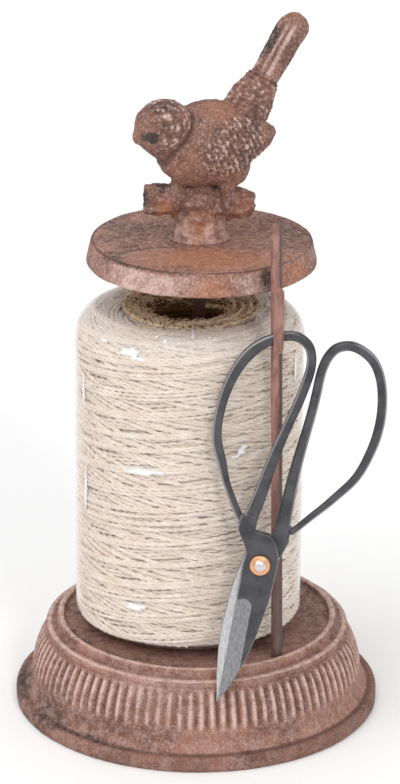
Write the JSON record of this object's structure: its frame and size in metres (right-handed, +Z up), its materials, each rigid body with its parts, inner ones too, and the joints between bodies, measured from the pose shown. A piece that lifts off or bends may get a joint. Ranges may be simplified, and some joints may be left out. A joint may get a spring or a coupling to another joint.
{
  "type": "string holder",
  "caption": "Cast stand for a spool of twine: fluted round base, spindle, disc cap with a bird finial, and loop-handled scissors hung on a side hook.",
  "frame": {"origin": "on the table under the middle of the round base", "axes": "+Z up along the spindle, -Y towards the front where the scissors hang, +X to the right"},
  "size_m": [0.146, 0.146, 0.2823],
  "materials": {
    "cast_iron": "rough sand-cast iron with a rusty brown finish, black worn patches and pale dusted high spots",
    "brown_rod": "drawn steel rod in the same rusty brown finish",
    "zinc": "dull zinc plated",
    "twine": "natural jute twine",
    "film": "clear shrink film with creases",
    "scissor_steel": "dark forge-scaled steel with ground cutting bevels",
    "rivet_steel": "bright peened steel",
    "copper": "polished copper"
  },
  "bodies": {
    "stand": {"base_casting": "cast_iron", "spindle": "brown_rod", "spindle_foot_washer": "zinc", "spindle_foot_nut": "zinc", "spindle_lock_nut": "zinc", "cap_nut": "zinc", "cap_washer": "zinc", "hook_upright": "brown_rod", "hook_prong": "brown_rod", "hook_foot_washer": "zinc", "hook_foot_nut": "zinc"},
    "spool": {"twine_core": "twine", "twine_winding": "twine", "film_wrap": "film"},
    "lid_stud": {"finial_stud": "zinc"},
    "lid": {"cap_disc": "cast_iron", "bird_finial": "cast_iron"},
    "scissors": {"scissor_front_half": "scissor_steel", "scissor_rivet": "rivet_steel", "rivet_front_washer": "copper", "rivet_rear_washer": "copper"},
    "scissors_rear": {"scissor_rear_half": "scissor_steel"}
  },
  "joints": [
    {"name": "spool_spin", "type": "hinge", "parent": "stand", "child": "spool", "pos_m": [-0.0035, 0, 0.1], "axis": [0, 0, 1], "continuous": true},
    {"name": "lid_lift", "type": "slide", "parent": "stand", "child": "lid_stud", "axis": [0, 0, 1], "range_m": [0, 0.004]},
    {"name": "lid_turn", "type": "hinge", "parent": "lid_stud", "child": "lid", "pos_m": [0, 0, 0.2], "axis": [0, 0, 1], "range_deg": [0, 1800]},
    {"name": "scissors_lift", "type": "slide", "parent": "stand", "child": "scissors", "axis": [0, 0, 1], "range_m": [0, 0.028]},
    {"name": "scissors_open", "type": "hinge", "parent": "scissors", "child": "scissors_rear", "pos_m": [0.02442, -0.05705, 0.08261], "axis": [0, 0.9904, -0.1379], "range_deg": [0, 45]}
  ],
  "couplings": [
    {"joint": "lid_lift", "follows": "lid_turn", "m_per_rad": 0.00012732}
  ]
}
